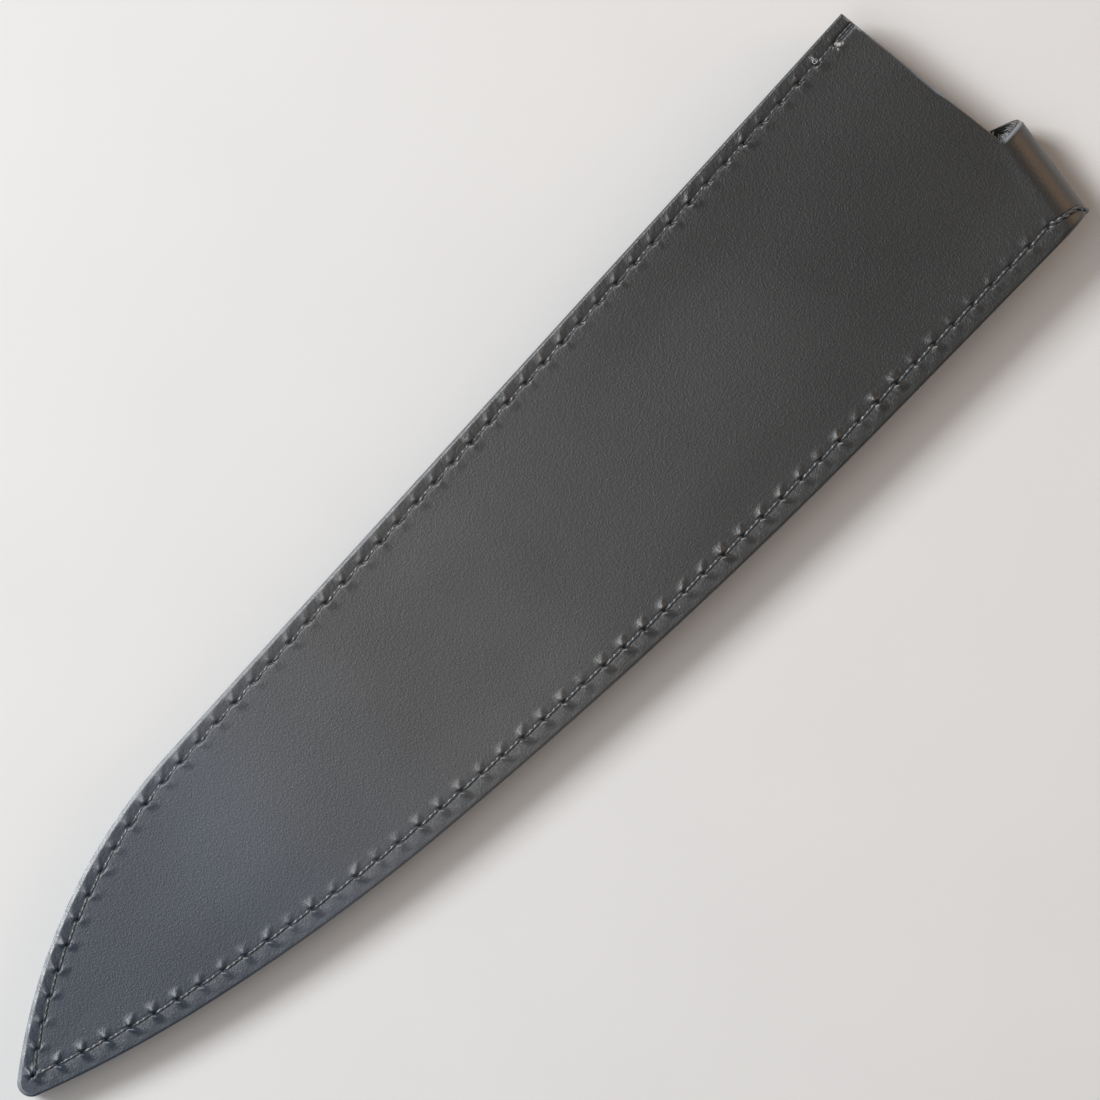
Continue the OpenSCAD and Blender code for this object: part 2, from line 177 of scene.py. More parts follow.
# The holes at the mouth, and each side's seam: its arcs, its heading, its length and how far in it lies
hole_x = GUARD_LEN - SPINE_FIRST
edge_start = mid_c + (BELLY_R[2] - EDGE_SEAM) * unit(HEADS[3] - 90)
edge_hole = cross_at(edge_start, unit(HEADS[3]), (GUARD_LEN - EDGE_FIRST, 0), unit(90))
spine_seam_len = side_length(SPINE_SEWN, np.array([hole_x, -SPINE_SEAM]))
edge_seam_len = side_length(EDGE_SEWN, edge_hole)
spine_count, edge_count = round(spine_seam_len / PITCH), round(edge_seam_len / PITCH)
spine_pitch, edge_pitch = spine_seam_len / spine_count, edge_seam_len / edge_count
SPINE_SIDE = (SPINE_SEWN, 0, spine_seam_len, SPINE_SEAM)
EDGE_SIDE = (EDGE_SEWN, HEADS[3], edge_seam_len, EDGE_SEAM)

# What the seam does to the leather, in mm. A stitch slants by SLANT to each side and swings back near its
# ends. It lies in a channel, pulls a dimple in at each hole, and raises a fan on both sides of the hole.
SLANT, SWING = 0.17, 0.07
CHANNEL_DEEP, CHANNEL_HALF = 0.04, 0.32
SLOPE_INSIDE, SLOPE_OUTSIDE = 1.5, 0.6
DIMPLE_DEEP, DIMPLE_HALF = 0.50, 0.42
FAN_HIGH, FAN_STARTS, FAN_STEEP, FAN_REACH = 0.62, 0.38, 0.22, 2.0
FAN_HALF, FAN_WIDENS = 0.5, 0.3
FOLD_SHARE, SWELL_HIGH = 0.15, 0.08
INNER_CREASE, OUTER_CREASE = 0.022, 0.030


def aside(t):
    """How far a stitch slants off its line, for t in stitches: a saw tooth that passes 0 at each hole."""
    f = t - np.floor(t)
    return SLANT * ((2 * f - 1) + (1 - np.tanh(f / SWING)) - (1 - np.tanh((1 - f) / SWING)))


def pulled(q, t, pitch, count, seed, inner, outer, slope, outer_slope):
    """How the seam shapes the leather at q mm inside it, t stitches along. Sunk: a channel under the thread,
    a dimple at each hole, slopes down to the seam. Raised: on both sides of each hole a fan, inner or outer
    times its full height, steep toward the hole, falling slowly and widening away from it, with folds that
    run out from the hole, fine creases across the seam, and a swelling near the edge. Each hole differs."""
    rng = np.random.default_rng(seed)
    hole = np.clip(np.rint(t), 0, count).astype(int)
    h = (t - hole) * pitch
    pull = rng.uniform(0.6, 1.4, count + 1)[hole]
    lean = rng.normal(-0.4, 0.2, count + 1)[hole]
    sewn = smooth((t + 0.35) / 0.3) * smooth((count + 0.2 - t) / 0.2)
    between = 0.5 - 0.5 * np.cos(2 * np.pi * t)
    reach = np.where(q > 0, SLOPE_INSIDE, SLOPE_OUTSIDE)
    sunk = sewn * (CHANNEL_DEEP * bell(q / CHANNEL_HALF) + slope * bell(q / reach))
    sunk += sewn * outer_slope * smooth((0.3 - q) / 0.6) * np.clip(1 + q / 3.2, 0, 1)
    sunk += DIMPLE_DEEP * np.sqrt(pull) * np.exp(-(q * q + h * h) / DIMPLE_HALF ** 2)
    past = np.abs(q) - FAN_STARTS
    out = np.maximum(past, 0)
    beside = (h - lean * out) / (FAN_HALF + FAN_WIDENS * out)
    folds = 1 + FOLD_SHARE * np.cos(5 * beside + 7 * pull) * smooth(out / 0.4)
    back = np.clip(1 - out / FAN_REACH, 0, 1) ** 1.4
    lip = np.where(past > 0, back, bell(past / FAN_STEEP)) * bell(beside)
    side = inner + (outer - inner) * smooth((0.25 - q) / 0.5)
    swell = SWELL_HIGH * sewn * between * bell((q + 2.1) / 1.1)
    creases = INNER_CREASE * np.cos(2 * np.pi * h / 1.5 + 9 * lean) * bell((q - 1.1) / 0.8)
    creases += OUTER_CREASE * np.cos(2 * np.pi * (h - 0.5 * q) / 1.2 + 5 * pull) * bell((q + 1.3) / 0.6)
    return sunk, FAN_HIGH * pull * lip * folds * side + outer * swell + sewn * pull * creases


def rounded(depth, reach, height):
    """A quarter ellipse: how far an edge falls away, from height at the edge to 0 at its reach."""
    return height * (1 - np.sqrt(1 - np.clip(1 - depth / reach, 0, 1) ** 2))


# The spine edge is bevelled and burnished, more toward the tip, the cutting edge only rounded, and the skin
# lies in slow waves, in mm. A fan's height is a share of its full one, by the share of the seam run.
BEVEL_W, BEVEL_GROWS = 0.24, 0.48
BEVEL_STEEP, BEVEL_EASES = 0.85, 0.42
WAVE_HIGH = 0.10
RUN_IN, FANS_IN = [0, 0.35, 0.55, 0.8], [0.45, 0.3, 0.45, 0.6]
RUN_OUT, FANS_OUT = [0, 0.3, 0.5, 0.75, 1], [0.3, 0.6, 0.6, 0.95, 1.1]
BELLY_IN, BELLY_OUT = 0.95, 0.85
IN_SLOPE, SPINE_OUT_SLOPE, BELLY_OUT_SLOPE = 0.02, 0.10, 0.08


def face_height(xy, seed):
    """Height of a sewn panel's smooth face above its flesh side, and how much of the point lies on the
    burnished bevel, whose pale grey is partly its own colour and partly a painted highlight: its thickness,
    less the bevel along the spine and the rounding along the cutting edge, with the seam's channel, dimples
    and fans, a wide groove under the doubled thread between the mouth and the first hole, and slow waves over
    the middle."""
    spine_in, spine_at = beside(xy, *SPINE_SIDE)
    belly_in, belly_at = beside(xy, *EDGE_SIDE)
    v = xy - round_c
    turn = bearing(v)
    on_round = (turn > round_from) & (turn < round_to)
    round_in = TIP_ROUND - np.linalg.norm(v, axis=-1)
    spine_share = np.clip(spine_at / spine_seam_len, 0, 1)
    belly_share = np.clip(belly_at / edge_seam_len, 0, 1)
    bevel = BEVEL_W + BEVEL_GROWS * spine_share ** 0.8
    curl = np.interp(belly_share, [0, 0.6, 1], [0.4, 0.5, 0.45])
    share_round = smooth((turn - round_from) / (round_to - round_from))
    to_belly = np.where(on_round, share_round, spine_in > belly_in)
    inset = np.maximum(np.where(on_round, round_in, np.minimum(spine_in, belly_in)), 0)
    slope = 1 - inset / bevel
    steep = BEVEL_STEEP - BEVEL_EASES * spine_share
    cut = steep * bevel * (np.sqrt(slope * slope + 0.01) + slope) / 2
    fall = (1 - to_belly) * cut + to_belly * rounded(inset, curl, 0.8 * curl)
    # partly painted highlight: the bevel's pale grey is made stronger toward the tip, where the bevel faces
    # the light; the rest is the burnished edge's own paler colour
    pale_edge_and_highlight = smooth((bevel * 1.05 - inset) / (0.25 * bevel)) * (0.2 + 0.8 * spine_share ** 2)
    spine_t, belly_t = spine_at / spine_pitch, belly_at / edge_pitch
    spine_q, belly_q = spine_in - SPINE_SEAM, belly_in - EDGE_SEAM
    inner, outer = np.interp(spine_share, RUN_IN, FANS_IN), np.interp(spine_share, RUN_OUT, FANS_OUT)
    a_down, a_up = pulled(spine_q - aside(spine_t), spine_t, spine_pitch, spine_count, seed,
                          inner, outer, IN_SLOPE, SPINE_OUT_SLOPE * smooth(2.5 * spine_share))
    a_down = a_down + 0.30 * np.exp(-(spine_q / 0.62) ** 4) * smooth((0.2 - spine_at) / 0.6)
    from_heel = 0.4 + 0.6 * smooth(4 * belly_share)
    b_down, b_up = pulled(belly_q + aside(belly_t), belly_t, edge_pitch, edge_count, seed + 1,
                          BELLY_IN * from_heel, BELLY_OUT * from_heel, IN_SLOPE, BELLY_OUT_SLOPE)
    middle = smooth((np.minimum(spine_in, belly_in) - 4) / 12)
    x, y = xy[..., 0], xy[..., 1]
    waves = WAVE_HIGH * np.sin(x / 17 + y / 21) + WAVE_HIGH * np.sin(x / 23 - y / 11 + 2)
    height = LEATHER_T - fall + np.maximum(a_up, b_up) - np.maximum(a_down, b_down) + middle * waves
    return height, (1 - to_belly) * pale_edge_and_highlight


def ruled(mouth_at, mouth, belly_len, rows, cols, band):
    """The flat pattern as rows from the spine to the cutting edge, so many mm along it from the tip. A row
    joins the points the same share of the way along both sides; within the sewn band its columns keep their
    distance from the edges, and between the bands they spread evenly; the last rows ease over to the
    mouth's own line, which is given by its corners and how far along it they are."""
    mouth_len, rows = mouth_at[-1], rows / belly_len
    own_line = np.stack([np.interp(cols, mouth_at, mouth[:, i]) for i in (0, 1)], -1)
    spine_len = side_length(SPINE_ARCS, corner)
    a, b = along(SPINE_ARCS, 0, rows * spine_len)[0], along(BELLY_ARCS, HEADS[3], rows * belly_len)[0]
    length = np.linalg.norm(b - a, axis=1)[:, None]
    k = np.minimum(1, length / (2.5 * band))
    middle = band * k + (cols - band) / (mouth_len - 2 * band) * (length - 2 * band * k)
    far = length - (mouth_len - cols) * k
    place = np.where(cols <= band, cols * k, np.where(cols >= mouth_len - band, far, middle))
    flat = a[:, None] + (b - a)[:, None] * (place / np.maximum(length, 1e-9))[..., None]
    return flat + smooth((rows - 0.86) / 0.14)[:, None, None] * (own_line - flat[-1])


def at_height(xy, z):
    """Points of the plane with their height added."""
    return np.concatenate([xy, np.broadcast_to(z, xy.shape[:-1])[..., None]], -1)


def fold_xy(s, y):
    """Flat pattern point s mm past the start of the fold and y along it."""
    return notch + (FOLD_GAP + s)[..., None] * out_of + y[..., None] * up_fold


def wrapped(s, y, h):
    """Leather bent round the mouth, h above its flesh side: on the half turn, gap + r sin and fold height
    + r cos of s / middle radius, with r the inner radius + h; after it, straight back. y runs along the
    fold."""
    a = np.minimum(s / FOLD_MID_R, np.pi)
    beyond = np.maximum(s - np.pi * FOLD_MID_R, 0)
    r = FOLD_IN_R + h
    return at_height(fold_xy(r * np.sin(a) - beyond, y), FOLD_Z + r * np.cos(a))


# Points nearer than WELD metres become one, edges under SLIVER metres go, and a corner over SHARP degrees
# stays sharp
WELD, SLIVER, SHARP = 2e-6, 1e-7, 55


def make_mesh(name, grids, caps, materials):
    """One closed mesh. Each grid of points gives a quad for every cell, with its flat coordinates as UV and a
    share of pale edge colour and painted highlight for each point; each cap is one flat face through its
    points. Points that coincide are merged, and all faces are turned outwards."""
    points, quads, kinds, flats, shines, base = [], [], [], [], [], 0
    for xyz, flat, pale_edge_and_highlight, kind in grids:
        r, c = xyz.shape[:2]
        i = base + np.arange(r * c).reshape(r, c)
        quads.append(np.stack([i[:-1, :-1], i[:-1, 1:], i[1:, 1:], i[1:, :-1]], -1).reshape(-1, 4))
        kinds.append(np.full(len(quads[-1]), kind))
        points.append(xyz.reshape(-1, 3))
        flats.append(flat.reshape(-1, 2))
        shines.append(np.broadcast_to(pale_edge_and_highlight, (r, c)).ravel())
        base += r * c
    faces = [f for q in quads for f in q.tolist()]
    for xyz, kind in caps:
        faces.append(list(range(base, base + len(xyz))))
        kinds.append(np.array([kind]))
        points.append(xyz)
        flats.append(xyz[:, :2])
        shines.append(np.zeros(len(xyz)))
        base += len(xyz)
    mesh = bpy.data.meshes.new(name)
    mesh.from_pydata(((np.concatenate(points) + TO_FRAME) / 1000).tolist(), [], faces)
    mesh.polygons.foreach_set("material_index", np.concatenate(kinds).astype(np.int32))
    corners = np.empty(len(mesh.loops), np.int32)
    mesh.loops.foreach_get("vertex_index", corners)
    uv = mesh.uv_layers.new(name="pattern")
    uv.uv.foreach_set("vector", (np.concatenate(flats)[corners] / 100).astype(np.float32).ravel())
    mask = mesh.attributes.new("pale_edge_and_highlight", "FLOAT", "POINT")
    mask.data.foreach_set("value", np.concatenate(shines).astype(np.float32))
    bm = bmesh.new()
    bm.from_mesh(mesh)
    bmesh.ops.remove_doubles(bm, verts=bm.verts, dist=WELD)
    bmesh.ops.dissolve_degenerate(bm, edges=bm.edges, dist=SLIVER)
    bmesh.ops.recalc_face_normals(bm, faces=bm.faces)
    bm.to_mesh(mesh)
    bm.free()
    mesh.polygons.foreach_set("use_smooth", np.ones(len(mesh.polygons), bool))
    mesh.set_sharp_from_angle(angle=math.radians(SHARP))
    for material in materials:
        mesh.materials.append(material)
    piece = bpy.data.objects.new(name, mesh)
    bpy.context.scene.collection.objects.link(piece)
    return piece


class Finish:
    """A new material with its Principled shader, and short ways to add the nodes that feed it."""

    def __init__(self, name, roughness, specular=0.5):
        self.material = bpy.data.materials.new(name)
        self.material.use_nodes = True
        self.tree = self.material.node_tree
        self.shader = self.tree.nodes["Principled BSDF"]
        self.shader.inputs["Roughness"].default_value = roughness
        self.shader.inputs["Specular IOR Level"].default_value = specular

    def add(self, kind, inputs=(), **settings):
        """A node of that kind, with its settings, values and links."""
        node = self.tree.nodes.new("ShaderNode" + kind)
        for key, value in settings.items():
            setattr(node, key, value)
        for key, value in dict(inputs).items():
            if isinstance(value, bpy.types.NodeSocket):
                self.tree.links.new(value, node.inputs[key])
            else:
                node.inputs[key].default_value = value
        return node

    def link(self, socket, key):
        """Links a node's output to an input of the shader."""
        self.tree.links.new(socket, self.shader.inputs[key])

    def place(self):
        """The piece's own coordinates, in metres."""
        return self.add("TexCoord").outputs["Object"]

    def noise(self, vector, scale, detail, roughness=0.5):
        """A noise from 0 to 1, mostly near a half."""
        inputs = {"Vector": vector, "Scale": scale, "Detail": detail, "Roughness": roughness}
        return self.add("TexNoise", inputs).outputs["Fac"]

    def maths(self, operation, *values):
        """The result of one sum on values or sockets."""
        return self.add("Math", dict(enumerate(values)), operation=operation).outputs["Value"]

    def spread(self, value, low, high, to_low, to_high, **settings):
        """A value from low to high, spread from to_low to to_high."""
        inputs = {"Value": value, "From Min": low, "From Max": high, "To Min": to_low, "To Max": to_high}
        return self.add("MapRange", inputs, **settings).outputs["Result"]

    def tones(self, value, first, last, *between):
        """The colour that a value has on a ramp. A stop is where it lies and its colour."""
        ramp = self.add("ValToRGB", {"Fac": value})
        stops = ramp.color_ramp.elements
        for stop, (at, colour) in zip(stops, (first, last)):
            stop.position, stop.color = at, (*colour, 1)
        for at, colour in between:
            stops.new(at).color = (*colour, 1)
        return ramp.outputs["Color"]

    def mix(self, share, one, other, blend="MIX"):
        """Two colours mixed by a share of the second."""
        return self.add("Mix", {0: share, 6: one, 7: other}, data_type="RGBA", blend_type=blend).outputs[2]

    def bump(self, height, strength, distance):
        """A relief on the shader's normal, so many metres high."""
        relief = self.add("Bump", {"Height": height, "Strength": strength, "Distance": distance})
        self.link(relief.outputs["Normal"], "Normal")


def grain_leather(name):
    """Smooth black leather, slowly clouded, with pebbled grain, lighter specks and a sheen that varies. Its
    colour is neutral black by the mouth, paler over the tip's half and bluer at the tip: painted light, for
    the brighter and bluer light on the tip's half. On the bevel it is pale grey: partly the burnished bevel's
    own colour, partly a painted highlight. The pattern's coordinates are in tenths of a metre from the tip."""
    skin = Finish(name, 0.45, 1.0)
    flat = skin.add("UVMap", uv_map="pattern").outputs["UV"]
    pale_edge_and_highlight = skin.add("Attribute", attribute_name="pale_edge_and_highlight").outputs["Fac"]
    run = skin.add("SeparateXYZ", {0: flat}).outputs["X"]
    clouds = skin.maths("MULTIPLY_ADD", skin.noise(flat, 2.2, 3.0, 0.55), 0.65, -0.325)
    # painted light: the colour is paler over the tip's half, darkest by the mouth and darker again right at
    # the tip, as the light falls
    drift = skin.spread(run, 1.3, 2.25, 0.60, 0.06, interpolation_type="SMOOTHSTEP")
    fade = skin.spread(run, 0.9, 1.4, 1.0, 0.0)
    painted_light_near_tip = skin.maths("MULTIPLY", skin.spread(run, 0.1, 0.7, -0.35, 0.28), fade)
    level = skin.maths("ADD", skin.maths("ADD", clouds, drift), painted_light_near_tip)
    tone = skin.tones(level, (0.0, (0.0075, 0.0072, 0.0068)), (1.0, (0.05, 0.05, 0.05)),
                      (0.6, (0.022, 0.022, 0.022)))
    # painted light: the blue tint toward the tip stands in for the bluish light falling there
    painted_blue_light = skin.maths("POWER", skin.spread(run, 0.1, 1.3, 1.0, 0.0), 2.0)
    painted_blue_tone = skin.mix(painted_blue_light, tone, (0.38, 1.05, 2.3, 1), "MULTIPLY")
    fine = skin.noise(flat, 330.0, 3.0, 0.6)
    base = skin.mix(1.0, painted_blue_tone, skin.spread(fine, 0.3, 0.7, 0.5, 1.6), "MULTIPLY")
    # pale grey where the mask is high: the rubbed mouth edge's and the bevels' own paler colour, with a
    # painted highlight on the bevels
    skin.link(skin.mix(pale_edge_and_highlight, base, (0.25, 0.275, 0.31, 1)), "Base Color")
    polish = skin.maths("MULTIPLY", pale_edge_and_highlight, -0.16)
    skin.link(skin.maths("ADD", skin.spread(level, 0.0, 1.0, 0.37, 0.50), polish), "Roughness")
    pebble = skin.add("TexVoronoi", {"Vector": flat, "Scale": 280.0}, feature="SMOOTH_F1").outputs["Distance"]
    skin.bump(skin.maths("ADD", skin.maths("MULTIPLY", pebble, 0.6), fine), 0.6, 0.00009)
    return skin.material


def cut_edge(name):
    """The cut edge of dyed leather: packed fibres in fine streaks along the edge, duller than the face."""
    edge = Finish(name, 0.6)
    streak = edge.add("Mapping", {"Vector": edge.place(), "Scale": (300.0, 300.0, 3500.0)}).outputs["Vector"]
    fibres = edge.noise(streak, 1.0, 4.0, 0.7)
    edge.link(edge.tones(fibres, (0.3, (0.022, 0.022, 0.023)), (0.75, (0.085, 0.084, 0.082))), "Base Color")
    edge.bump(fibres, 0.6, 0.0001)
    return edge.material


def flesh_side(name):
    """The suede inner side: a dull, warm, near-black nap with short matted fibres; its darkness is partly the
    dye's own and partly painted shade for the dim inside of the notch.
    """
    suede = Finish(name, 0.95)
    nap = suede.noise(suede.place(), 1600.0, 5.0, 0.75)
    suede.link(suede.tones(nap, (0.3, (0.009, 0.009, 0.009)), (0.75, (0.045, 0.043, 0.041))), "Base Color")
    suede.bump(nap, 0.8, 0.00025)
    return suede.material


LEATHER = [grain_leather("black_grain_leather"), cut_edge("cut_leather_edge"), flesh_side("suede_flesh_side")]
GRAIN, CUT, FLESH = 0, 1, 2

# Where the grids have their points: close together over the sewn band and where an edge turns, in mm,
# and on a cut wall as shares of its height
BAND = 7.5
WALL, NOTCH_WALL = np.array([0, 0.4, 0.8]), np.array([0, 0.3, 0.7, 1.0])
EDGE_COLS = [0, 0.07, 0.15, 0.25, 0.4, 0.6, 0.8]
SEWN_COLS = np.hstack([EDGE_COLS, np.arange(1.02, 6.3, 0.22), [6.5, 6.9, BAND]])
NOTCH_COLS = np.array([-0.7, -0.35, 0, 0.08, 0.2, 0.4, 0.8, 1.6])
MOUTH_ROWS = np.array([0.35, 0.2, 0.1, 0.04, 0])
UNDER_NOTCH = 5


def columns(middle, length):
    """Columns across a panel, with how far up its wall each stands: a cut wall, the sewn band, the middle,
    the sewn band and a cut wall again."""
    face = np.hstack([SEWN_COLS, middle, length - SEWN_COLS[::-1]])
    cols = np.hstack([0 * WALL, face, length + 0 * WALL])
    return cols, np.hstack([WALL, np.ones(len(face)), WALL[::-1]])


def rows_to(length):
    """Rows from the tip to a mouth so far along, close together at both ends."""
    return np.hstack([np.arange(0, 3, 0.15), np.linspace(3, length - 0.6, 680), length - MOUTH_ROWS])


mouth_a, mouth_b = np.linalg.norm(fold_from - corner), np.linalg.norm(heel - fold_from)
mouth_len, belly_len = mouth_a + mouth_b, side_length(BELLY_ARCS, heel)
FRONT = ([0, mouth_a, mouth_len], np.array([corner, fold_from, heel]), belly_len)
before_notch = np.linspace(BAND, mouth_a + 2 * NOTCH_COLS[0], 14)[1:]
past_notch = np.linspace(mouth_a + NOTCH_COLS[-1], mouth_len - BAND, 7)[1:-1]
all_cols, lift = columns(np.hstack([before_notch, mouth_a + NOTCH_COLS, past_notch]), mouth_len)
at_notch = int(np.argmin(np.abs(all_cols - mouth_a)))
under_past = np.linspace(mouth_a, mouth_len, 5)[1:]
under_cols = np.hstack([np.linspace(0, mouth_a, UNDER_NOTCH + 1), under_past])

# The edges of the mouth and the flap, and the heel stitch's groove and its s and y on the fold, in mm
MOUTH_ROUND, MOUTH_FALL = 0.25, 0.2
NOTCH_BEVEL, NOTCH_STEEP = 0.6, 0.7
GROOVE_DEEP, GROOVE_HALF = 0.30, 0.38
HEEL_STITCH = np.array([[-2.3, -17.3], [-0.5, -17.75], [2.0, -17.8], [3.8, -17.85], [5.2, -18.7],
                        [6.6, -19.3], [8.2, -19.5]])
fold_cos, fold_sin = unit(FOLD_SLOPE)
lean_in = fold_sin / fold_cos


def notch_bevel(inset):
    """The burnished bevel on the flap's notch side: how far it falls, and how much of a point is on it, which
    takes a pale grey that is partly the bevel's own colour and partly a painted highlight.
    """
    inset = np.maximum(inset, 0)
    return NOTCH_STEEP * np.maximum(NOTCH_BEVEL - inset, 0), smooth((NOTCH_BEVEL * 1.1 - inset) / 0.15)


def heel_curl(s):
    """How far the rounding of the flap's heel side reaches in: less and less from the bend to the tail."""
    return np.interp(s, [0, 25], [1.0, 0.5])


def flap_face(s, y):
    """Height of the flap's smooth face, and how much of a point is on its bevel: thickness, less the bevel
    on the notch side and a rounding on the heel side, with a groove under the heel stitch."""
    fall, pale_edge_and_highlight = notch_bevel((s * lean_in - y) * fold_cos)
    lower_in = (y - s * lean_in + flap_root) * fold_cos
    curl, begun = heel_curl(s), smooth(s / 0.8)
    beside = y - np.interp(s, HEEL_STITCH[:, 0], HEEL_STITCH[:, 1])
    laid = smooth((s + 2.2) / 0.5) * smooth((8.6 - s) / 0.5)
    fall = fall * begun + rounded(lower_in, curl, 0.85 * curl)
    return LEATHER_T - fall - GROOVE_DEEP * bell(beside / GROOVE_HALF) * laid, pale_edge_and_highlight * begun


def split_walls(xyz, flat, pale_edge_and_highlight, left=len(WALL)):
    """A row grid as its cut wall on the left, where it has one, its face, and its cut wall on the right."""
    pale_edge_and_highlight = np.broadcast_to(pale_edge_and_highlight, xyz.shape[:2])
    n = xyz.shape[1]
    right = n - len(WALL)
    parts = [(slice(0, left + 1), CUT), (slice(left, right), GRAIN), (slice(right - 1, n), CUT)]
    return [(xyz[:, p], flat[:, p], pale_edge_and_highlight[:, p], kind) for p, kind in parts if p.stop - p.start > 1]


def flap_stretch(s, upper, lower, face, first):
    """A stretch of the flap at the distances s, between its upper and lower side, as its grids, its outline
    across at each s and the heights of its face. The grids are the smooth face, the cut heel side, the
    flesh side and the cut notch side; first is the heights that the stretch before it ends with."""
    y = upper - (upper - lower) * (all_cols[at_notch:] - mouth_a) / mouth_b
    low_y = upper - (upper - lower) * (under_cols[UNDER_NOTCH:] - mouth_a) / mouth_b
    top_s, low_s = np.broadcast_to(s, y.shape), np.broadcast_to(s, low_y.shape)
    height, pale_edge_and_highlight = face(top_s, y)
    h = lift[at_notch:] * height
    h[0] = first
    side_s, side_y = s + 0 * NOTCH_WALL, upper + 0 * NOTCH_WALL
    top, under = wrapped(top_s, y, h), wrapped(low_s, low_y, 0 * low_y)
    side = wrapped(side_s, side_y, h[:, :1] * NOTCH_WALL)
    grids = split_walls(top, fold_xy(top_s, y), pale_edge_and_highlight, 0)
    grids += [(under, fold_xy(low_s, low_y), 0, FLESH), (side, fold_xy(side_s, side_y), 0, CUT)]
    return grids, np.concatenate([top, under[:, ::-1], side[:, 1:-1]], 1), h


# The mouth's edge is rubbed pale in places, by these shares at these mm from the spine, with nicks
RUBBED_AT, RUBBED = [0, 4, 10, 16, 23, 26, 32, 36], [0.3, 0.8, 0.4, 0.55, 1.0, 0.6, 0.15, 0]
FOLD_EASE = 2.6
flat = ruled(*FRONT, rows_to(belly_len), all_cols, BAND)
height, pale_edge_and_highlight = face_height(flat, 11)
open_mouth = all_cols < mouth_a
to_mouth = (flat[-1] - flat)[..., 0]
height = height - rounded(to_mouth, MOUTH_ROUND, MOUTH_FALL) * open_mouth
nicks = np.convolve(np.random.default_rng(5).uniform(-1, 1, len(all_cols) + 4), np.ones(5) / 2.5, "valid")
rubbed = np.interp(all_cols, RUBBED_AT, RUBBED)
worn = 0.26 + 0.24 * rubbed + 0.16 * nicks
rubbed = rubbed * (0.8 + 0.4 * nicks) * open_mouth
pale_edge_and_highlight = np.maximum(pale_edge_and_highlight, rubbed * smooth((worn - to_mouth) / 0.15))
past_fold, along_fold = (flat - notch) @ out_of - FOLD_GAP, (flat - notch) @ up_fold
onto_flap = smooth((past_fold + FOLD_EASE) / FOLD_EASE) * ~open_mouth
height = height + (flap_face(past_fold, along_fold)[0] - height) * onto_flap
top = at_height(flat, FRONT_Z + lift * height)
under = ruled(*FRONT, rows_to(belly_len), under_cols, BAND)
bottom = at_height(under, FRONT_Z)

SPLIT = math.radians(130) * FOLD_MID_R
bend = np.linspace(0, SPLIT, 34)[:, None]
bend_grids, bend_outline, bend_h = flap_stretch(bend, bend * lean_in, bend * lean_in - flap_root, flap_face,
                                                lift[at_notch:] * height[-1, at_notch:])
notch_wall = bend_grids[-1][0]
grids = split_walls(top, flat, pale_edge_and_highlight) + [(bottom, under, 0, FLESH)] + bend_grids
mouth_face = np.vstack([top[-1, :at_notch + 1], notch_wall[0, 2:0:-1], bottom[-1, UNDER_NOTCH::-1]])
front_leather = make_mesh("front_leather", grids, [(mouth_face, CUT), (bend_outline[-1], CUT)], LEATHER)
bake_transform(front_leather)
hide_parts("front_panel")

# THE FLAP'S TAIL
# The same piece of leather, from where it has turned under the mouth to its rounded end. It
# swings with the snap's cap and socket, which are riveted through it.
SNAP_RUN, CAP_R, CAP_DEEP = 42, 6.3, 0.14
SNAP_S, SNAP_Y = SNAP_RUN * fold_cos, SNAP_RUN * fold_sin - flap_root / 2
END_R = flap_root * fold_cos / 2


def tail_sides(s):
    """The flap's upper and lower side at s: straight along the guard, then round about the snap."""
    half = np.sqrt(np.maximum(END_R ** 2 - (s - SNAP_S) ** 2, 0))
    lean = fold_sin * END_R
    return (np.where(s < SNAP_S - lean, s * lean_in, SNAP_Y + half),
            np.where(s < SNAP_S + lean, s * lean_in - flap_root, SNAP_Y - half))


def tail_face(s, y):
    """Height of the tail's smooth face, and no pale edge colour and no painted highlight: thickness less the
    rounding of its side, measured from the side of a strip with a round end, and a shallow ring pressed in by
    the snap's cap."""
    u = (s - SNAP_S) * fold_cos + (y - SNAP_Y) * fold_sin
    w = (y - SNAP_Y) * fold_cos - (s - SNAP_S) * fold_sin
    inset = END_R - np.hypot(np.maximum(u, 0), w)
    to_end = smooth((u + 4) / 4)
    curl = heel_curl(s) + (0.45 - heel_curl(s)) * to_end
    lower, upper = rounded(inset, curl, 0.85 * curl), notch_bevel(inset)[0]
    fall = np.where(w > 0, upper + (lower - upper) * to_end, lower)
    return LEATHER_T - fall - CAP_DEEP * bell((np.hypot(u, w) - CAP_R) / 0.7), 0


half_turn, end_from = np.pi * FOLD_MID_R, SNAP_S - END_R * fold_sin
round_end = SNAP_S + END_R * np.sin(np.radians(np.linspace(-FOLD_SLOPE, 90, 34)[1:]))
straight = np.linspace(half_turn, end_from, 40)[1:]
tail = np.hstack([np.linspace(SPLIT, half_turn, 14), straight, round_end])[:, None]
grids, outline, _ = flap_stretch(tail, *tail_sides(tail), tail_face, bend_h[-1])
flap_tail = make_mesh("flap_tail", grids, [(outline[0], CUT)], LEATHER)
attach(flap_tail, "flap")
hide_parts("closure_flap")

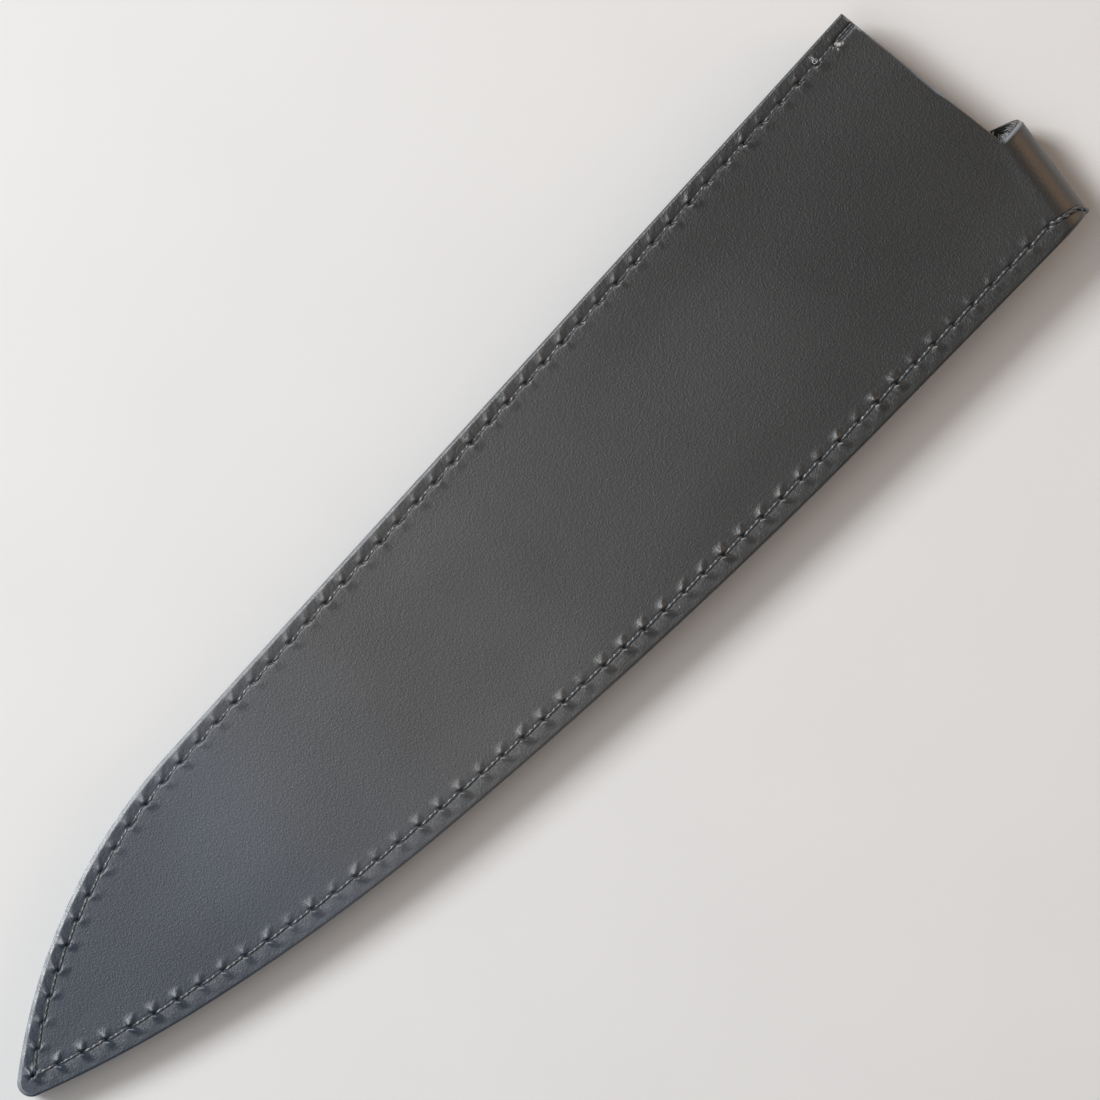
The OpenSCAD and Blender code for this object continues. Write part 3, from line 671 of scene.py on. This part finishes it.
# THE BACK LEATHER
# The hidden face, cut to the same outline but square across the mouth. Its smooth side is
# outside, and the bobbin's stitches sink into it as the needle's do into the front.
back_heel = cross_at(heel_line, unit(HEADS[3]), corner, unit(90))
back_len, back_mouth = side_length(BELLY_ARCS, back_heel), np.linalg.norm(back_heel - corner)
BACK = ([0, back_mouth], np.array([corner, back_heel]), back_len)
back_cols, back_lift = columns(np.linspace(BAND, back_mouth - BAND, 20)[1:-1], back_mouth)
flat = ruled(*BACK, rows_to(back_len), back_cols, BAND)
height, pale_edge_and_highlight = face_height(flat, 23)
height = height - rounded(GUARD_LEN - flat[..., 0], MOUTH_ROUND, MOUTH_FALL)
outer = at_height(flat, LEATHER_T - back_lift * height)
under = ruled(*BACK, rows_to(back_len), np.linspace(0, back_mouth, 9), BAND)
inner = at_height(under, LEATHER_T)
grids = split_walls(outer, flat, pale_edge_and_highlight) + [(inner, under, 0, FLESH)]
mouth_face = np.vstack([outer[-1], inner[-1, ::-1]])
back_leather = make_mesh("back_leather", grids, [(mouth_face, CUT)], LEATHER)
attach(back_leather, "sheath")
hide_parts("back_panel")

# THE WELTS
# Two layers of split leather on each side, 2.2 mm each, which make room for the blade. They
# are cut flush with the panels, glued and sewn between them, and their outer edge is sanded.
WELT_T, SPINE_WELT_W, EDGE_WELT_W = 2.2, 4.4, 5.2
EDGE_BULGE, EDGE_CORNER = 0.09, 0.12


def welt(side, layer, z, width, panel):
    """A strip along one side, as a closed profile carried down the rows: out to the cut edge, which bulges
    as 1 less the square of its height and draws in at its corners, and in to its width or to the middle of
    the row near the tip."""
    length = panel[0][-1]
    rows = np.hstack([np.arange(0, 3, 0.3), np.linspace(3, panel[2], 330)])
    row = ruled(*panel, rows, np.array([0, width, length - width, length]), width)
    a, b = (row[:, 0], row[:, -1]) if side == "spine" else (row[:, -1], row[:, 0])
    span = np.linalg.norm(b - a, axis=1, keepdims=True)
    across = (b - a) / np.maximum(span, 1e-9)
    level = np.linspace(-1, 1, 7)
    bulge = EDGE_BULGE * (1 - level ** 2) - EDGE_CORNER * np.abs(level) ** 8
    inner = np.minimum(width, span / 2) * np.ones((1, 2))
    depth = np.concatenate([-np.minimum(bulge, span / 2), inner, -bulge[:1] + 0 * span], 1)
    xy = a[:, None] + across[:, None] * depth[..., None]
    xyz = at_height(xy, z + WELT_T * np.hstack([(level + 1) / 2, [1, 0, 0]]))
    grids = [(xyz[:, :7], xy[:, :7], 0, 0), (xyz[:, 6:], xy[:, 6:], 0, 1)]
    strip = make_mesh(f"{side}_strip_{layer}", grids, [(xyz[-1, :-1], 0)], [LEATHER[CUT], LEATHER[FLESH]])
    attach(strip, "sheath")
    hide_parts(f"{side}_welt_{layer}")


for layer, z, panel in (("front", FRONT_Z - WELT_T, FRONT), ("back", LEATHER_T, BACK)):
    welt("spine", layer, z, SPINE_WELT_W, panel)
    welt("edge", layer, z, EDGE_WELT_W, panel)

# THE SEAM
# A lockstitch in waxed black thread of three plies: the needle's thread lies on the front and
# the bobbin's on the back. It starts over the edge of the mouth at the spine, doubled, runs
# round the tip, and ends at the heel. Each stitch sinks into the holes at its ends.
THREAD_R, LAY, PLY_DEEP, STITCH_DEEP = 0.27, 4.0, 0.2, 0.85
DOUBLED_R, DOUBLED_APART, TURN_R = 0.19, 0.25, 0.35
SIDES, PER_STITCH = 12, 24
LOCK_Z, THREAD_Z = STACK_T / 2, STACK_T - 0.06


def seam_line(side, run, q):
    """Points a run down a side's seam from the mouth, q inside it, and the way to the inside there."""
    xy, out = along(*side[:2], side[2] - run)
    return xy - q[:, None] * out, -out


def dip(t, pitch):
    """How far the thread sinks near each hole: a bell as wide as the dimple in the leather."""
    return STITCH_DEEP * bell((t - np.rint(t)) * pitch / DIMPLE_HALF)


def averaged(values, span):
    """Each value averaged over so many of its neighbours."""
    return np.convolve(np.pad(values, span // 2, "edge"), np.ones(span) / span, "valid")


def strand(path, side, radius, a, flat):
    """A strand along a path, with a cap at each end: round it lie rings square to it, radius times the
    cosine of the angle a to the side, and radius times its sine square to that."""
    step = np.gradient(path, axis=0)
    tangent = step / np.linalg.norm(step, axis=1, keepdims=True)
    side = side - (side * tangent).sum(1, keepdims=True) * tangent
    side /= np.linalg.norm(side, axis=1, keepdims=True)
    up = np.cross(tangent, side)
    ring = (radius * np.cos(a))[..., None] * side[:, None] + (radius * np.sin(a))[..., None] * up[:, None]
    ring += path[:, None]
    return [(ring, flat, 0, 0)], [(ring[0, :-1], 0), (ring[-1, :-1], 0)]


def tube(path, inward, radius):
    """A twisted thread along a path: round it, radius times (1 + 0.2 cos of three times the angle less the
    turn), so that three plies show, and the turn grows by a full circle every lay. Inward may be one
    direction for the whole path."""
    side = np.stack([averaged(x, 5) for x in np.broadcast_to(inward, (len(path), 2)).T], -1)
    length = np.hstack([[0], np.cumsum(np.linalg.norm(np.diff(path, axis=0), axis=1))])[:, None]
    a = np.linspace(0, 2 * np.pi, SIDES + 1)[None]
    r = radius * (1 + PLY_DEEP * np.cos(3 * (a - 2 * np.pi * length / LAY)))
    flat = np.stack([length + 0 * a, a * THREAD_R + 0 * length], -1)
    return strand(path, at_height(side, 0), r, a, flat)


def gathered(parts):
    """The grids and the caps of several parts, as two lists."""
    return [g for grids, _ in parts for g in grids], [c for _, caps in parts for c in caps]


def over_mouth(q):
    """One strand up the cut face of the mouth, round its edge in a quarter circle, and along to just before
    the first hole, q inside the seam."""
    rise = np.linspace(LOCK_Z, THREAD_Z - TURN_R, 14)
    a = np.radians(np.linspace(0, 90, 7)[1:-1])
    run = np.linspace(turn_x - TURN_R, hole_x, 22)[:-1]
    sink = dip((hole_x - run) / PITCH, PITCH) * (run < GUARD_LEN - 2)
    x = np.hstack([0 * rise + turn_x, turn_x - TURN_R + TURN_R * np.cos(a), run])
    z = np.hstack([rise, THREAD_Z - TURN_R + TURN_R * np.sin(a), THREAD_Z - sink])
    gather = smooth((x - hole_x) / 1.5)
    return np.stack([x, -SPINE_SEAM - q * gather, z - 0.2 * gather], -1)


def waxed_thread(name):
    """Black bonded thread: dark plies with a waxed gloss, broken by fine lengthwise filaments. The filaments
    are the thread's own; their pale bluish grey is partly a painted highlight.
    """
    wax = Finish(name, 0.36, 1.0)
    flat = wax.add("UVMap", uv_map="pattern").outputs["UV"]
    streak = wax.add("Mapping", {"Vector": flat, "Scale": (120.0, 2500.0, 1.0)}).outputs["Vector"]
    fibres = wax.noise(streak, 1.0, 3.0)
    wax.link(wax.tones(fibres, (0.3, (0.022, 0.024, 0.027)), (0.8, (0.10, 0.115, 0.13))), "Base Color")
    wax.bump(fibres, 0.5, 0.00003)
    return wax.material


thread_black = waxed_thread("waxed_black_thread")
turn_x = GUARD_LEN + SPINE_SEAM * math.tan(math.radians(MOUTH_SLOPE)) - 0.12
spine_t = np.arange(0, spine_count * PER_STITCH) / PER_STITCH
edge_t = np.arange(edge_count * PER_STITCH, -1, -1) / PER_STITCH
spine_xy, spine_in = seam_line(SPINE_SIDE, spine_t * spine_pitch, aside(spine_t))
edge_xy, edge_in = seam_line(EDGE_SIDE, edge_t * edge_pitch, -aside(edge_t))
proud = np.maximum(bell((spine_t % 1 - 0.78) / 0.15), 1.3 * smooth((spine_t / spine_count - 0.75) / 0.2))
spine_path = at_height(spine_xy, THREAD_Z - 0.20 * (1 - proud) - dip(spine_t, spine_pitch))
edge_path = at_height(edge_xy, THREAD_Z - dip(edge_t, edge_pitch))
strands = [(np.vstack([spine_path, edge_path]), np.vstack([spine_in, edge_in]), THREAD_R),
           (np.vstack([over_mouth(DOUBLED_APART), spine_path[:3]]), (0.0, -1.0), DOUBLED_R),
           (over_mouth(-DOUBLED_APART), (0.0, -1.0), DOUBLED_R)]
for name, node, flip in (("needle_stitches", "needle_thread", 1), ("bobbin_stitches", "bobbin_thread", -1)):
    parts = [tube(line * [1, 1, flip] + [0, 0, STACK_T * (flip < 0)], inward, radius)
             for line, inward, radius in strands]
    thread = make_mesh(name, *gathered(parts), [thread_black])
    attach(thread, "sheath")
    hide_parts(node)

# THE HEEL STITCH
# The needle's thread goes on past its last hole, over the bend of the flap, and down into the
# leather on the far side of the fold, as two strands twisted loosely round each other.
HEEL_R, HEEL_LAY = 0.23, 3.1
knots = np.linspace(0, len(HEEL_STITCH) - 1, 90)
stitch_s = np.interp(knots, np.arange(len(HEEL_STITCH)), HEEL_STITCH[:, 0])
stitch_y = np.interp(stitch_s, HEEL_STITCH[:, 0], HEEL_STITCH[:, 1])
for _ in range(3):
    stitch_y = averaged(stitch_y, 9)
sunk = STITCH_DEEP * bell((stitch_s - stitch_s[0]) / 0.5) + 1.1 * bell((stitch_s - stitch_s[-1]) / 0.6)
stitch_h = LEATHER_T - 0.04 - sunk
parts = []
for start in (0, np.pi):
    twist = start + 2 * np.pi * stitch_s / HEEL_LAY
    y, h = stitch_y + 0.2 * np.cos(twist), stitch_h + 0.16 * np.sin(twist)
    on_flat = at_height(fold_xy(stitch_s, y), FRONT_Z + h)
    path = np.where((stitch_s < 0)[:, None], on_flat, wrapped(stitch_s, y, h))
    parts.append(tube(path, up_fold, HEEL_R))
heel_stitch = make_mesh("heel_stitch", *gathered(parts), [thread_black])
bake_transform(heel_stitch)

# THE THREAD'S CUT ENDS
# Where the sewing was finished off near the mouth: a bead of melted thread pressed down beside
# the first hole, and at the second a cut end that unlays over the edge of the leather.
# A bead is its place from the hole along x and y, and its radius; an end is its lean and its radius.
BEADS = ((0.35, -0.75, 0.55), (0.1, -0.2, 0.36), (1.0, -1.1, 0.3), (-0.4, -1.2, 0.26))
ENDS = ((-0.05, 0.11), (-0.3, 0.08), (0.16, 0.07))


def hair(path, radius, sides=7):
    """A fine round strand along a path, which tapers as 1 less 0.75 of the square of the way along."""
    side = np.cross(np.gradient(path, axis=0), [0.31, -0.17, 0.94])
    way = np.linspace(0, 1, len(path))[:, None]
    a = np.linspace(0, 2 * np.pi, sides + 1)[None]
    flat = np.stack([way * 3 + 0 * a, a * radius + 0 * way], -1)
    return strand(path, side, radius * (1 - 0.75 * way * way), a, flat)


def bead(centre, radius, seed):
    """A lump of melted thread: radius times (1 + 0.16 sin of twice the turn + 0.12 sin of three times the
    turn, less of it toward the poles), flattened to 0.7 of its height."""
    shift = np.random.default_rng(seed).uniform(0, 6, 2)
    up, a = np.linspace(-np.pi / 2, np.pi / 2, 13)[:, None], np.linspace(0, 2 * np.pi, 25)[None]
    lumps = 0.16 * np.sin(2 * a + shift[0]) + 0.12 * np.sin(3 * a + 4 * up + shift[1])
    r = radius * (1 + lumps * np.cos(up))
    xy = (r * np.cos(up))[..., None] * np.stack([np.cos(a), np.sin(a)], -1)
    xyz = at_height(xy, 0.7 * r * np.sin(up)) + centre
    return [(xyz, xyz[..., :2], 0, 0)], []


def melted(name):
    """Thread melted to a bead: dark and glossy, with a wrinkled skin; the pale grey patches in its colour are
    painted glints.
    """
    lump = Finish(name, 0.15, 1.0)
    skin = lump.noise(lump.place(), 5000.0, 3.0)
    lump.link(lump.tones(skin, (0.35, (0.02, 0.02, 0.022)), (0.6, (0.55, 0.55, 0.55))), "Base Color")
    lump.bump(skin, 0.9, 0.0002)
    return lump.material


def pale_fibre(name):
    """Undyed leather fibre: pale grey, matt, with darker stretches. On the thread's unlaid end the same pale
    grey is a painted highlight.
    """
    fibre = Finish(name, 0.7)
    patch = fibre.noise(fibre.place(), 1500.0, 2.0)
    fibre.link(fibre.tones(patch, (0.4, (0.16, 0.17, 0.17)), (0.65, (0.62, 0.65, 0.65))), "Base Color")
    return fibre.material


parts = [bead((hole_x + x, y - SPINE_SEAM, STACK_T + 0.02), radius, seed)
         for seed, (x, y, radius) in enumerate(BEADS, 1)]
beads = make_mesh("melted_beads", *gathered(parts), [melted("melted_thread")])
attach(beads, "sheath")

turn = np.linspace(-1.2, 1.55 * np.pi, 40)
loop_xy = np.array([hole_x - spine_pitch + 0.1, 0.5 - SPINE_SEAM]) + unit(np.degrees(turn)) * [0.5, 0.42]
loop = at_height(loop_xy, STACK_T - 0.05 + 0.07 * turn)
parts = []
for aim, radius in ENDS:
    run = np.linspace(0, 1, 16)[1:, None]
    tail_end = loop[-1] + run * [aim * 2, 1.9, -0.3] + 0.09 * np.sin(5 * run + 9 * aim) * [1, 0, 0]
    parts.append(hair(np.vstack([loop, tail_end]), radius))
pale_fibre_and_glint = pale_fibre("loose_fibre")
# painted highlight: the black thread's unlaid end takes the pale fibre colour, for the glint on its fine
# fibres
cut_end = make_mesh("unlaid_end", *gathered(parts), [pale_fibre_and_glint])
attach(cut_end, "sheath")

# THE LOOSE FIBRES
# At the notch the cut edge of the leather is raw, and pale fibres stand out of it: most on the
# flap's side of it, the rest on the mouth's.
FIBRES, ON_FLAP = 84, 60
rng = np.random.default_rng(8)
way = np.linspace(0, 1, 9)
parts = []
for i in range(FIBRES):
    from_s, from_h = rng.uniform(0, 1.35) * FOLD_MID_R, 1.7 * rng.uniform(0, 1) ** 1.6
    long, drift = rng.uniform(0.3, 1.15), rng.normal(0, 0.6)
    rise, curve = rng.normal(-0.5, 0.5), rng.normal(0, 0.35)
    if i < ON_FLAP:
        s = np.maximum(from_s + drift * way + curve * np.sin(3 * way), 0)
        y = from_s * lean_in - 0.15 + long * way
        path = wrapped(s, y, from_h + rise * way + curve * np.sin(2.5 * way + 1) * way)
    else:
        root = corner + (notch - corner) * (1 - 0.09 * rng.uniform(0, 1) ** 2)
        xy = root + np.outer(long * way - 0.15, out_of) + np.outer(drift * way + curve * way * way, up_fold)
        path = at_height(xy, FRONT_Z + 0.2 + from_h + 0.5 * rise * way)
    parts.append(hair(path, rng.uniform(0.03, 0.06), 5))
loose = make_mesh("notch_fibres", *gathered(parts), [pale_fibre_and_glint])
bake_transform(loose)

# THE SNAP
# A nickel-plated press stud. Its cap and socket are riveted through the flap and its stud to
# the back panel, with a ring of spring wire in the socket. Its shapes are the CAD's own.


def plated(name, tone, roughness):
    """Nickel plate: metal, faintly clouded in its tone and its gloss, with a very fine unevenness."""
    plate = Finish(name, roughness)
    plate.shader.inputs["Metallic"].default_value = 1.0
    place = plate.place()
    clouds = plate.noise(place, 400.0, 4.0)
    plate.link(plate.tones(clouds, (0.3, [c * 0.8 for c in tone]), (0.7, tone)), "Base Color")
    plate.link(plate.spread(clouds, 0.3, 0.7, roughness + 0.08, roughness - 0.05), "Roughness")
    plate.bump(plate.noise(place, 6000.0, 2.0), 0.15, 0.00002)
    return plate.material


nickel = plated("nickel_plate", (0.60, 0.58, 0.55), 0.28)
wire = plated("spring_wire", (0.50, 0.50, 0.50), 0.35)
for node in ("snap_cap", "snap_socket", "snap_spring", "snap_stud", "snap_post"):
    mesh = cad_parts[node].data
    mesh.materials.clear()
    mesh.materials.append(wire if node == "snap_spring" else nickel)

# THE POST COVER
# A thin disc of leather, glued over the post's head inside the pocket so that no metal
# touches the blade. It stands a hair above the panel, with a skived rim.
cover_r = np.array([[0.0, 2.0, 3.3, 3.8, 4.0, 4.0, 0.0]])
cover_z = np.array([[2.02, 2.02, 2.0, 1.95, 1.88, 1.3, 1.3]])
snap_xy = notch + (FOLD_GAP + half_turn - SNAP_S) * out_of + SNAP_Y * up_fold
disc_xy = snap_xy + cover_r[..., None] * unit(np.linspace(0, 360, 65)[:, None])
post_disc = make_mesh("post_disc", [(at_height(disc_xy, cover_z), disc_xy, 0, 0)], [], [LEATHER[FLESH]])
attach(post_disc, "sheath")
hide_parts("post_cover")

# THE TABLE, THE LIGHT AND THE CAMERA
# The guard lies on its back on a pale table, on its tip and its snap, so the table leans by
# that little. The window side of the photograph, its upper left, is +Y.
SNAP_X, TIP_X, TIP_Z, TABLE_HALF = 0.0966, -0.1281, 0.0051, 6.0
far = TABLE_HALF * np.array([[-1, -1], [1, -1], [1, 1], [-1, 1]])
table_z = (SNAP_X - far[:, 0]) * TIP_Z / (SNAP_X - TIP_X)
mesh = bpy.data.meshes.new("table_top")
mesh.from_pydata(at_height(far, table_z).tolist(), [], [[0, 1, 2, 3]])
table_top = bpy.data.objects.new("table_top", mesh)
bpy.context.scene.collection.objects.link(table_top)
paper = Finish("pale_table", 0.7)
spots = paper.noise(paper.place(), 30.0, 2.0)
paper.link(paper.tones(spots, (0.0, (0.76, 0.76, 0.76)), (1.0, (0.79, 0.79, 0.785))), "Base Color")
mesh.materials.append(paper.material)

MIDDLE = [0.011, 0.002, 0.01]


def lamp(name, place, size, power, colour):
    """A soft square lamp that looks at the middle of the guard."""
    data = bpy.data.lights.new(name, "AREA")
    data.size, data.energy, data.color = size, power, colour
    light = bpy.data.objects.new(name, data)
    bpy.context.scene.collection.objects.link(light)
    light.location = place
    way = np.array(place) - MIDDLE
    light.rotation_euler = (math.acos(way[2] / np.linalg.norm(way)), 0, math.atan2(way[0], -way[1]))


lamp("window", (-0.22, 0.82, 0.92), 0.45, 12.3, (0.98, 0.99, 1.0))
lamp("ceiling", (-0.5, 0.35, 1.25), 0.9, 4.0, (1.0, 1.0, 1.0))
lamp("warm_wall", (0.92, -0.24, 0.46), 0.8, 2.6, (1.0, 0.66, 0.41))
world = bpy.data.worlds.new("room")
world.use_nodes = True
world.node_tree.nodes["Background"].inputs["Color"].default_value = (0.97, 0.98, 1.0, 1)
world.node_tree.nodes["Background"].inputs["Strength"].default_value = 0.18
bpy.context.scene.world = world

# The camera looks straight down, sees so many metres across, and is turned to lay the guard as it lies in
# the photograph
SEEN, LENS, SENSOR, TURNED = 0.2018, 180.0, 36.0, -47.7
eye = bpy.data.cameras.new("eye")
eye.lens, eye.sensor_width = LENS, SENSOR
eye.clip_start, eye.clip_end = 0.1, 20
camera = bpy.data.objects.new("eye", eye)
bpy.context.scene.collection.objects.link(camera)
camera.location = (0.01084, 0.00246, 0.0133 + SEEN * LENS / SENSOR)
camera.rotation_euler = (0, 0, math.radians(TURNED))
bpy.context.scene.camera = camera
bpy.context.scene.view_settings.view_transform = "Standard"
